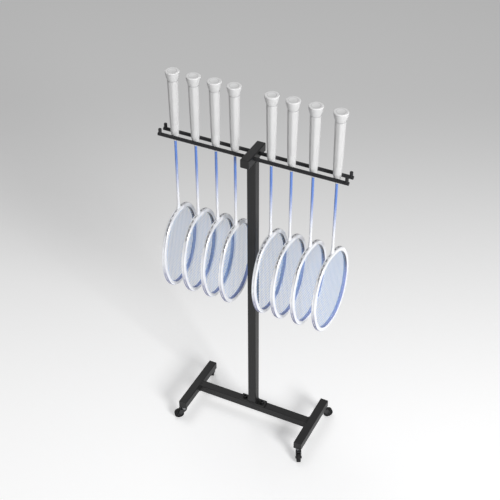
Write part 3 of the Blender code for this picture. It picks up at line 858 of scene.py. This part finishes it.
class RACK_OT_casters(bpy.types.Operator):
    """Finish the casters and fit finer wheels"""

    bl_idname = "racket_rack.casters"
    bl_label = "Fit casters"

    def execute(self, context):
        look = context.scene.rack_casters
        finishes = {"fork": coated_fork(look), "stem": zinc_plate(look),
                    "axle": blackened_steel("blackened_axle", look.fork_black)}
        for part, material in finishes.items():
            paint([f"caster_{part}_{corner}" for corner in CORNERS], material)

        material = moulded_wheel(look)
        wheel = stored_place(wheel_shape(look))
        ribs = None
        if look.ribs:
            hub, rim = look.hub_diameter, rim_diameter(look)
            sizes = {"Count": look.ribs, "Reach": (hub + rim) / 4, "Height": web_height(look),
                     "Length": (rim - hub) / 2, "Thickness": RIB_THICKNESS, "Depth": RIB_DEPTH}
            ribs = stored_place(grown("wheel_ribs", draw_ribs, sizes, material))
        for corner in CORNERS:
            body, where = f"wheel_{corner}", spindle_place(corner)
            piece(f"wheel_moulding_{corner}", wheel, body, material,
                  [f"caster_wheel_{corner}"], where)
            if ribs:
                piece(f"wheel_ribs_{corner}", ribs, body, where=where)
        return {"FINISHED"}


# Rackets; each is made once in its own space, hanging from the top of its butt at the origin

def end_middle(points, height):
    """Middle of a solid's flat end, from its corners close to a height."""
    end = points[np.abs(points[:, 2] - height) < END_REACH]
    return Vector((end.min(axis=0) + end.max(axis=0)) / 2)


def racket_place(racket):
    """Matrix from a racket's own space to where it hangs, read from its solids."""
    grip, cone, strings = (points_of(frame["nodes"][f"{racket}_{part}"].data).astype(float)
                           for part in ("grip", "cone", "strings"))
    top = end_middle(grip, grip[:, 2].max())
    up = (top - end_middle(cone, cone[:, 2].min())).normalized()
    spread = np.linalg.eigh(np.cov(strings.T))[1]
    across = Vector(spread[:, 1] * np.sign(spread[1, 1]))
    across = (across - up * across.dot(up)).normalized()
    columns = Matrix((across.cross(up), across, up)).transposed()
    return Matrix.Translation(top - up * RACKET_SINK) @ columns.to_4x4()


def hang(*kinds):
    """Like pieces on every racket, each as its name, mesh, slot, material and replaced solid; the
    slot is not used.
    """
    for racket in RACKETS:
        where = racket_place(racket)
        for kind, mesh, slot, material, solid in kinds:
            nodes = [f"{racket}_{solid}"] if solid else ()
            piece(f"{racket}_{kind}", mesh, racket, material, nodes, where)


def head_middle(look):
    """Height of the head's centre in the racket's own space."""
    return look.head_length / 2 - look.racket_length


def from_head(look, place):
    """A point of the head's plane, from the head's centre, in the racket's own space."""
    return 0.0, place[0], place[1] + head_middle(look)


def head_line(look, stations):
    """The frame's centre line as (across, along) from the head's centre, and its way out."""
    turns = (np.arange(stations) + 0.5) * 2 * pi / stations
    along = np.sign(np.sin(turns)) * np.abs(np.sin(turns)) ** (2 / look.head_square_along)
    across = np.sign(np.cos(turns)) * np.abs(np.cos(turns)) ** (2 / look.head_square_across)
    half_width = (look.head_width - look.frame_wall) / 2
    half_length = (look.head_length - look.frame_wall) / 2
    line = np.stack([half_width * across * (1 + look.head_taper * along), half_length * along],
                    axis=1)
    tangent = np.roll(line, -1, axis=0) - np.roll(line, 1, axis=0)
    outward = np.stack([tangent[:, 1], -tangent[:, 0]], axis=1)
    return line, outward / np.linalg.norm(outward, axis=1, keepdims=True)


def frame_section(look):
    """Section of the frame as (deep, wide) points: round corners, and a groove outside."""
    radius = look.frame_corner
    half_deep, half_wide = look.frame_depth / 2, look.frame_wall / 2
    outline = []
    for quarter, (side_deep, side_wide) in enumerate(((1, 1), (-1, 1), (-1, -1), (1, -1))):
        for step in range(CORNER_STEPS + 1):
            turn = (quarter + step / CORNER_STEPS) * pi / 2
            outline.append((side_deep * (half_deep - radius) + radius * cos(turn),
                            side_wide * (half_wide - radius) + radius * sin(turn)))
        if quarter == 0:
            for part in np.linspace(1.0, -1.0, GROOVE_POINTS):
                outline.append((part * look.groove_width / 2,
                                half_wide - look.groove_depth * (1 - part ** 4)))
    return outline


def hoop_shape(look):
    """Grooved oval frame of the head."""
    line, outward = head_line(look, HOOP_STATIONS)
    rings = []
    for deep, wide in frame_section(look):
        flat = line + wide * outward
        rings.append(np.stack([np.full(len(flat), deep), flat[:, 0],
                               flat[:, 1] + head_middle(look)], axis=1))
    return skin("hoop", np.stack(rings, axis=1), closed=True)


def shaft_shape(look):
    """Shaft from inside the cone to inside the frame, where it flares."""
    root = head_middle(look) + (look.head_length - look.frame_wall) / 2
    flare_end = root + look.frame_wall / 2 + look.throat_length
    inside_cone = -look.grip_end - look.cone_length * 0.5
    rings = []
    for height in (*np.linspace(root, flare_end, FLARE_RINGS), inside_cone):
        rest = max(0.0, 1 - (height - root) / (flare_end - root))
        spread = rest ** look.throat_flare
        width = look.shaft_diameter + (look.throat_width - look.shaft_diameter) * spread
        depth = look.shaft_diameter + (look.throat_depth - look.shaft_diameter) * rest
        rings.append(oval(depth, width, height, SHAFT_SIDES))
    return skin("shaft", rings)


def stored_outward(mesh, look):
    """Keeps how far each point lies outside the frame's centre line, for the frame's paint."""
    flat = points_of(mesh)[:, 1:] - np.array([0.0, head_middle(look)])
    line, outward = head_line(look, PAINT_STATIONS)
    nearest = np.array([np.argmin(((line - point) ** 2).sum(axis=1)) for point in flat])
    return stored(mesh, OUTWARD, ((flat - line[nearest]) * outward[nearest]).sum(axis=1))


def lacquered_frame(look):
    """White faces, a blue upper shaft, a grey outer wall and a blue inner wall, with painted shade
    in the groove and on the inner wall near the throat, and on the outer wall towards the far end.
    """
    middle = head_middle(look)
    half_wall, half_head = look.frame_wall / 2, look.head_length / 2
    throat_top, blue_from = middle + half_head + look.throat_length, -0.250

    def draw(graph):
        own = graph.own_place()
        x, y, z = graph.parts(own)
        reach = graph.node("ShaderNodeAttribute", {"attribute_name": OUTWARD}, {}).of("Fac")
        along = (z - middle) / half_head  # -1 at the far end, 1 at the throat
        on_head = along.ramp(1.02, 0.98)
        inside = reach.ramp(0.0014 - half_wall, 0.0004 - half_wall) * on_head
        outside = reach.ramp(half_wall - 0.0016, half_wall - 0.0006) * on_head
        # Mask of the painted shade in the groove near the throat; the pearl sheen leaves it out.
        in_groove = (abs(x).ramp(look.groove_width * 0.5, look.groove_width * 0.38)
                     * along.ramp(0.60, 0.72))
        # Painted shade on the inner wall near the throat, giving way to blue towards the far end.
        inner = graph.blend(along.ramp(0.50, -0.15), look.throat_painted_shade, look.inner_blue)
        # Painted shade on the outer wall towards the far end, the underside of the hanging head.
        outer = graph.blend(along.ramp(0.05, -0.55), look.outer_grey, look.underside_painted_shade)
        outer = graph.blend(in_groove * 0.9, outer, look.groove_painted_shade)
        base = graph.blend(z.ramp(throat_top, blue_from), look.frame_white, look.shaft_blue)
        base = graph.blend(inside, base, inner)
        base = graph.blend(outside, base, outer)
        flow = graph.noise(own, size=0.05)
        return {"Base Color": base, "Metallic": outside * (1 - in_groove) * look.pearl,
                "Roughness": 0.26 + flow * 0.10, "Coat Weight": 0.4, "Coat Roughness": 0.10,
                "Normal": graph.bump(flow, distance=0.0003, strength=0.1)}
    return finish("lacquered_frame", draw)


class RACK_OT_frames(bpy.types.Operator):
    """Make the racket frames with throat and shaft"""

    bl_idname = "racket_rack.frames"
    bl_label = "Make racket frames"

    def execute(self, context):
        look = context.scene.rack_rackets
        mesh = smooth(fused(hoop_shape(look), shaft_shape(look)))
        mesh = stored_outward(stored_place(mesh), look)
        hang(("moulding", mesh, "frame", lacquered_frame(look), "frame"))
        return {"FINISHED"}


def point_row(graph, upright, count, start, step):
    """Points in a row along the racket, or across it."""
    def place(far):
        return graph.vector(0.0, 0.0, far) if upright else graph.vector(0.0, far, 0.0)
    return graph.node("GeometryNodeMeshLine", {},
                      {"Count": count, "Start Location": place(start), "Offset": place(step)})


def rod_along(graph, paths, diameter, sides, capped):
    """A round rod along each path."""
    curves = graph.node("GeometryNodeMeshToCurve", {}, {"Mesh": paths})
    ring = graph.node("GeometryNodeCurvePrimitiveCircle", {"mode": "RADIUS"},
                      {"Resolution": sides, "Radius": diameter * 0.5})
    return graph.node("GeometryNodeCurveToMesh", {},
                      {"Curve": curves, "Profile Curve": ring, "Fill Caps": capped})


def draw_strings(graph, source, sizes):
    """Woven main and cross strings, cut off inside the frame."""
    mains = sizes["Mains"], sizes["Main pitch"]
    crosses = sizes["Crosses"], sizes["Cross pitch"]
    beds = []
    for is_main in (True, False):
        (count, pitch), (others, other_pitch) = (mains, crosses) if is_main else (crosses, mains)
        reach = sizes["Half length"] if is_main else sizes["Half width"]
        steps = (reach * 2 / other_pitch * POINTS_PER_CROSSING).math("CEIL")
        step = other_pitch / POINTS_PER_CROSSING
        row = point_row(graph, not is_main, count, (count - 1) * pitch * -0.5, pitch)
        run = point_row(graph, is_main, steps + 1, steps * step * -0.5, step)
        lines = graph.node("GeometryNodeInstanceOnPoints", {}, {"Points": row, "Instance": run})
        lines = graph.node("GeometryNodeRealizeInstances", {}, {0: lines})
        x, y, z = graph.parts(graph.node("GeometryNodeInputPosition", {}, {}))
        widening = z / sizes["Half length"] * sizes["Taper"] + 1
        edge = ((abs(y) / (sizes["Half width"] * widening)) ** sizes["Fullness across"]
                + (abs(z) / sizes["Half length"]) ** sizes["Fullness along"])
        lines = graph.node("GeometryNodeDeleteGeometry", {"domain": "POINT"},
                           {"Geometry": lines, "Selection": edge > 1.0})
        own, travel = (y, z) if is_main else (z, y)
        side = ((own / pitch + (count - 1) * 0.5) * pi).math("COSINE")
        wave = ((travel / other_pitch + (others - 1) * 0.5) * pi).math("COSINE")
        bend = side * wave * sizes["Weave"] * (1.0 if is_main else -1.0)
        lines = graph.node("GeometryNodeSetPosition", {},
                           {"Geometry": lines, "Offset": graph.vector(bend, 0.0, 0.0)})
        beds.append(rod_along(graph, lines, sizes["Diameter"], STRING_SIDES, False))
    return graph.node("GeometryNodeSetShadeSmooth", {}, {0: graph.joined(*beds)})


def string_holes(look):
    """Stations of the frame's line where strings pass, with the direction that each takes."""
    line = head_line(look, HOLE_STATIONS)[0]
    holes = []
    for axis, count, pitch in ((0, look.main_strings, look.main_pitch),
                               (1, look.cross_strings, look.cross_pitch)):
        for string in range(count):
            gap = line[:, axis] - (string - (count - 1) / 2) * pitch
            for station in np.nonzero(gap * np.roll(gap, -1) < 0)[0]:
                aim = np.zeros(2)
                aim[1 - axis] = np.sign(line[station][1 - axis])
                holes.append((station, aim))
    return holes


def draw_grommets(graph, source, sizes):
    """A short sleeve at each point, turned along its direction."""
    sleeve = graph.node("GeometryNodeMeshCylinder", {}, {
        "Vertices": GROMMET_SIDES, "Radius": sizes["Diameter"] * 0.5, "Depth": sizes["Length"]})
    aim = graph.node("GeometryNodeInputNamedAttribute", {"data_type": "FLOAT_VECTOR"},
                     {"Name": AIM})
    turn = graph.node("FunctionNodeAlignRotationToVector", {"axis": "Z"}, {"Vector": aim})
    return graph.node("GeometryNodeInstanceOnPoints", {},
                      {"Points": source, "Instance": sleeve, "Rotation": turn})


def grommet_points(look):
    """Mesh of one point for each string end, just inside the frame, with its direction stored."""
    line = head_line(look, HOLE_STATIONS)[0]
    holes = string_holes(look)
    points = [from_head(look, line[station] - aim * look.frame_wall * GROMMET_INSET)
              for station, aim in holes]
    mesh = bpy.data.meshes.new("grommet_points")
    mesh.from_pydata(points, [], [])
    return stored(mesh, AIM, [(0.0, *aim) for station, aim in holes])


def draw_saddles(graph, source, sizes):
    """A round saddle along each path."""
    return rod_along(graph, source, sizes["Diameter"], SADDLE_SIDES, True)


def saddle_paths(look):
    """Mesh of the paths in the groove where saddles lie, each from one hole to the next."""
    line, outward = head_line(look, HOLE_STATIONS)
    groove = line + outward * (look.frame_wall / 2 - look.saddle_width / 2 - SADDLE_SINK)
    holes = sorted({station for station, aim in string_holes(look)})
    loops = []
    for start, end in zip(holes[::2], holes[1::2]):
        stations = np.linspace(start, end, SADDLE_POINTS).astype(int)
        loops.append([from_head(look, groove[station]) for station in stations])
    return path_mesh("saddle_paths", loops, closed=False)


def nylon_string(look):
    """Clear bluish nylon, hazy in places."""
    def draw(graph):
        haze = graph.noise(graph.own_place(), size=0.03)
        return {"Base Color": graph.blend(haze * 0.25, look.string_tint, HAZY_NYLON),
                "Roughness": 0.30 + haze * 0.1, "Coat Weight": 0.3}
    return finish("nylon_string", draw)


def grommet_nylon():
    """Pale nylon of the sleeves and saddles."""
    def draw(graph):
        haze = graph.noise(graph.own_place(), size=0.002)
        return {"Base Color": graph.blend(haze, SLEEVE_PALE, SLEEVE_DULL),
                "Roughness": 0.4 + haze * 0.1}
    return finish("grommet_nylon", draw)


class RACK_OT_strings(bpy.types.Operator):
    """String the rackets, sleeve each string at the frame and lay saddles in the groove"""

    bl_idname = "racket_rack.strings"
    bl_label = "String rackets"

    def execute(self, context):
        look = context.scene.rack_rackets
        sizes = {"Mains": look.main_strings, "Crosses": look.cross_strings,
                 "Main pitch": look.main_pitch, "Cross pitch": look.cross_pitch,
                 "Half width": (look.head_width - look.frame_wall) / 2,
                 "Half length": (look.head_length - look.frame_wall) / 2,
                 "Taper": look.head_taper, "Fullness across": look.head_square_across,
                 "Fullness along": look.head_square_along, "Diameter": look.string_diameter,
                 "Weave": look.weave}
        bed = grown("string_bed", draw_strings, sizes, nylon_string(look))
        bed.transform(Matrix.Translation((0.0, 0.0, head_middle(look))))
        nylon = grommet_nylon()
        saddles = grown("string_saddles", draw_saddles, {"Diameter": look.saddle_width}, nylon,
                        saddle_paths(look))
        sleeve_sizes = {"Diameter": look.grommet_diameter, "Length": GROMMET_LENGTH}
        sleeves = grown("grommets", draw_grommets, sleeve_sizes, nylon, grommet_points(look))
        for mesh in (bed, smooth(saddles, hard_degrees=60), smooth(sleeves)):
            stored_place(mesh)
        hang(("string_bed", bed, "strings", None, "strings"),
             ("string_saddles", saddles, "strings", None, None),
             ("grommets", sleeves, "strings", None, None))
        return {"FINISHED"}


def butt_rings(look):
    """Flared butt with a sunk plate and a seam, as (depth, radius) rings from its end."""
    radius, corner = look.butt_diameter / 2, look.butt_round
    plate, eye = radius * BUTT_PLATE_SHARE, 0.05
    slope = ((0.0003, 0.0004), (0.0001, 0.0010), (0.0, 0.0018))  # depth, distance from plate
    rings = [(BUTT_PLATE_SINK, plate * eye), (BUTT_PLATE_SINK, plate)]
    rings += [(depth, plate + beyond) for depth, beyond in slope]
    for turn in np.linspace(0.0, pi / 2, BUTT_EDGE_RINGS):
        rings.append((corner * (1 - cos(turn)), radius - corner * (1 - sin(turn))))
    for part in np.linspace(0.0, 1.0, BUTT_FLARE_RINGS + 1)[1:]:
        spread = (look.butt_diameter - look.grip_width) * (1 - part ** look.butt_flare)
        rings.append((corner + (look.butt_length - corner) * part,
                      (look.grip_width + spread) / 2))
    seam, upper_slope, lower_slope = look.grip_width / 2 - look.seam_depth, 0.0004, 0.0006
    return [*rings, (look.butt_length + upper_slope, seam),
            (look.butt_length + look.seam_width - lower_slope, seam)]


def grip_shape(look):
    """Butt and tapered eight-sided handle with soft corners."""
    turns = (np.arange(GRIP_SIDES) + 0.5) * 2 * pi / GRIP_SIDES
    circle = np.stack([np.cos(turns), np.sin(turns)], axis=1)
    from_flat = np.abs((turns + pi / 8) % (pi / 4) - pi / 8)
    facets = np.minimum(1 / np.cos(from_flat), 1 / cos(radians(FLAT_REACH)))

    def ring(depth, radius):
        return np.column_stack([circle * radius, np.full(GRIP_SIDES, -depth)])

    outline = [ring(depth, radius) for depth, radius in butt_rings(look)]
    start = look.butt_length + look.seam_width
    parts = (0.0, 0.006, GRIP_SOFT_START, *np.linspace(0.03, 0.98, GRIP_RINGS), 0.994, 1.0)
    for part in parts:
        squareness = min(1.0, 0.5 + part / GRIP_SOFT_START)
        width = look.grip_width + (look.grip_end_width - look.grip_width) * part
        width -= GRIP_END_DRAW if part in (0.0, 1.0) else 0.0
        radius = width / 2 * (1 + squareness * (facets - 1))
        outline.append(ring(start + (look.grip_end - start) * part, radius[:, None]))
    return smooth(skin("grip", outline))


def cone_shape(look):
    """Bulging cone under the grip, round a bore for the shaft."""
    top, tip = -look.grip_end, -(look.grip_end + look.cone_length)
    bore = look.shaft_diameter * BORE_SHARE
    profile = []
    for part in np.linspace(0.0, 1.0, CONE_RINGS):
        spread = 1 - part ** look.cone_bulge
        profile.append((look.cone_tip + (look.grip_end_width - look.cone_tip) * spread,
                        -(look.grip_end + look.cone_length * part)))
    return smooth(turned("cone", [*profile, (bore, tip), (bore, top)], CONE_SIDES))


def grip_sleeve(look):
    """Fine-pored soft sleeve with a darker seam; the top of the butt is painted pale for the light
    from above, with a ring on its plate.
    """
    ring_radius, seam_depth = look.butt_diameter * 0.31, look.butt_length + look.seam_width / 2

    def draw(graph):
        own = graph.own_place()
        x, y, z = graph.parts(own)
        pores = graph.noise(own, size=0.0008, detail=1.0)
        wear = graph.noise(own, size=0.025, detail=3.0)
        # Painted light: the top of the butt is painted paler for the light that falls on it from
        # above.
        top = z.ramp(-0.0030, -0.0010)
        ring = abs(from_axis(x, y) - ring_radius).ramp(0.0014, 0.0005) * top
        seam = abs(z + seam_depth).ramp(look.seam_width * 0.8, look.seam_width * 0.3)
        worn = wear.ramp(0.4, 0.8) * 0.06 + seam * 0.55
        base = graph.blend(worn, look.grip_white, WORN_GRIP)
        base = graph.blend(top, base, look.butt_top_painted_light)
        return {"Base Color": graph.blend(ring * 0.45, base, BUTT_RING),
                "Roughness": 0.46 + wear * 0.10, "Specular IOR Level": look.grip_gloss,
                "Normal": graph.bump(pores, distance=0.00006, strength=0.25)}
    return finish("grip_sleeve", draw)


def cone_moulding(look):
    """Smooth white moulding, faintly uneven."""
    def draw(graph):
        flow = graph.noise(graph.own_place(), size=0.02)
        return {"Base Color": graph.blend(flow * 0.12, look.cone_white, HAZY_CONE),
                "Roughness": 0.28 + flow * 0.1, "Coat Weight": 0.2}
    return finish("cone_moulding", draw)


class RACK_OT_grips(bpy.types.Operator):
    """Mould the grips and fit the cones below them"""

    bl_idname = "racket_rack.grips"
    bl_label = "Mould grips"

    def execute(self, context):
        look = context.scene.rack_rackets
        grip, cone = stored_place(grip_shape(look)), stored_place(cone_shape(look))
        hang(("moulded_grip", grip, "grip", grip_sleeve(look), "grip"),
             ("moulded_cone", cone, "cone", cone_moulding(look), "cone"))
        return {"FINISHED"}


# Floor, lights and camera

def area_lamp(name, azimuth, elevation, distance, size, watts):
    """A square soft lamp at a turn round the rack and a height, aimed at the rack's middle."""
    data = bpy.data.lights.new(name, "AREA")
    data.shape = "SQUARE"
    data.size = size
    data.energy = watts
    lamp = placed(name, data)
    away = Vector((sin(azimuth) * cos(elevation), -cos(azimuth) * cos(elevation), sin(elevation)))
    lamp.location = Vector((0.0, 0.0, AIM_HEIGHT)) + distance * away
    lamp.rotation_euler = away.to_track_quat("Z", "Y").to_euler()
    lamp.visible_camera = False


def seen_share(graph):
    """1 where a surface is seen, straight, in a reflection or through something clear, else 0."""
    path = graph.node("ShaderNodeLightPath", {}, {})
    seen = path + path.of("Is Glossy Ray") + path.of("Is Transmission Ray")
    return seen.math("MINIMUM", 1.0)


def pale_floor(look):
    """Floor that pales towards the front, seen partly in its own colour and partly as lit."""
    material = bpy.data.materials.new("pale_floor")
    graph = fresh_graph(material)
    x, y, z = graph.parts(graph.place())
    away = y * cos(look.azimuth) - x * sin(look.azimuth)
    tint = graph.blend(away.ramp(*FLOOR_FADE), look.floor_near, look.floor_far)
    seen = seen_share(graph)
    dulled = graph.blend(seen, toned(look.floor_near, look.floor_bounce), tint)
    lit = graph.node("ShaderNodeBsdfDiffuse", {}, {"Color": dulled})
    glow = graph.node("ShaderNodeEmission", {}, {"Color": tint, "Strength": look.glow_strength})
    both = graph.node("ShaderNodeMixShader", {}, {0: seen * look.floor_glow, 1: lit, 2: glow})
    graph.node("ShaderNodeOutputMaterial", {}, {"Surface": both})
    return material


def studio(look):
    """World that lights evenly, and is seen in a tone of its own."""
    world = bpy.data.worlds.new("studio")
    graph = fresh_graph(world)
    strength = seen_share(graph) * (look.wall - look.ambient) + look.ambient
    sky = graph.node("ShaderNodeBackground", {}, {"Color": (1.0, 1.0, 1.0), "Strength": strength})
    graph.node("ShaderNodeOutputWorld", {}, {"Surface": sky})
    return world


class RACK_OT_stage(bpy.types.Operator):
    """Set the floor, the lights and the camera"""

    bl_idname = "racket_rack.stage"
    bl_label = "Set stage"

    def execute(self, context):
        look = context.scene.rack_stage
        near, far = (-FLOOR_REACH, -FLOOR_REACH), (FLOOR_REACH, FLOOR_REACH)
        mesh = bpy.data.meshes.new("floor")
        mesh.from_pydata([(x, y, 0.0) for x, y in rectangle(near, far)], [], [(0, 1, 2, 3)])
        mesh.materials.append(pale_floor(look))
        floor = placed("floor", mesh)
        context.scene.world = studio(look)
        area_lamp("key", look.key_azimuth, look.key_elevation, look.key_distance,
                  look.key_size, look.key_power)
        area_lamp("fill", look.fill_azimuth, look.fill_elevation, look.fill_distance,
                  look.fill_size, look.fill_power)

        data = bpy.data.cameras.new("camera")
        data.lens = look.lens
        data.sensor_width = SENSOR_WIDTH
        camera = placed("camera", data)
        turn = (Matrix.Rotation(look.azimuth, 4, "Z")
                @ Matrix.Rotation(pi / 2 - look.elevation, 4, "X")
                @ Matrix.Rotation(look.roll, 4, "Z"))
        camera.matrix_world = Matrix.Translation(look.place) @ turn
        context.scene.camera = camera
        context.scene.view_settings.view_transform = "Standard"
        return {"FINISHED"}


class RACK_PT_panel(bpy.types.Panel):
    """Everything that dresses the rack"""

    bl_idname = "RACK_PT_panel"
    bl_label = "Racket rack"
    bl_space_type = "VIEW_3D"
    bl_region_type = "UI"
    bl_category = "Racket rack"

    def draw(self, context):
        for key, look in LOOKS.items():
            box = self.layout.box()
            box.label(text=look.__doc__)
            for name in look.__annotations__:
                box.prop(getattr(context.scene, key), name)
        for step in STEPS:
            self.layout.operator(step.bl_idname)


STEPS = (RACK_OT_stage, RACK_OT_tubes, RACK_OT_rails, RACK_OT_welds, RACK_OT_bolts,
         RACK_OT_casters, RACK_OT_frames, RACK_OT_strings, RACK_OT_grips)


def register():
    """Makes the properties, the steps and the panel known."""
    for kind in (*LOOKS.values(), *STEPS, RACK_PT_panel):
        bpy.utils.register_class(kind)
    for key, look in LOOKS.items():
        setattr(bpy.types.Scene, key, PointerProperty(type=look))


def unregister():
    """Takes back what register did."""
    for key in LOOKS:
        delattr(bpy.types.Scene, key)
    for kind in reversed((*LOOKS.values(), *STEPS, RACK_PT_panel)):
        bpy.utils.unregister_class(kind)


def main():
    """Dresses the rack."""
    register()
    bpy.ops.racket_rack.stage()
    bpy.ops.racket_rack.tubes()
    bpy.ops.racket_rack.rails()
    bpy.ops.racket_rack.welds()
    bpy.ops.racket_rack.bolts()
    bpy.ops.racket_rack.casters()
    bpy.ops.racket_rack.frames()
    bpy.ops.racket_rack.strings()
    bpy.ops.racket_rack.grips()


if __name__ == "__main__":
    main()
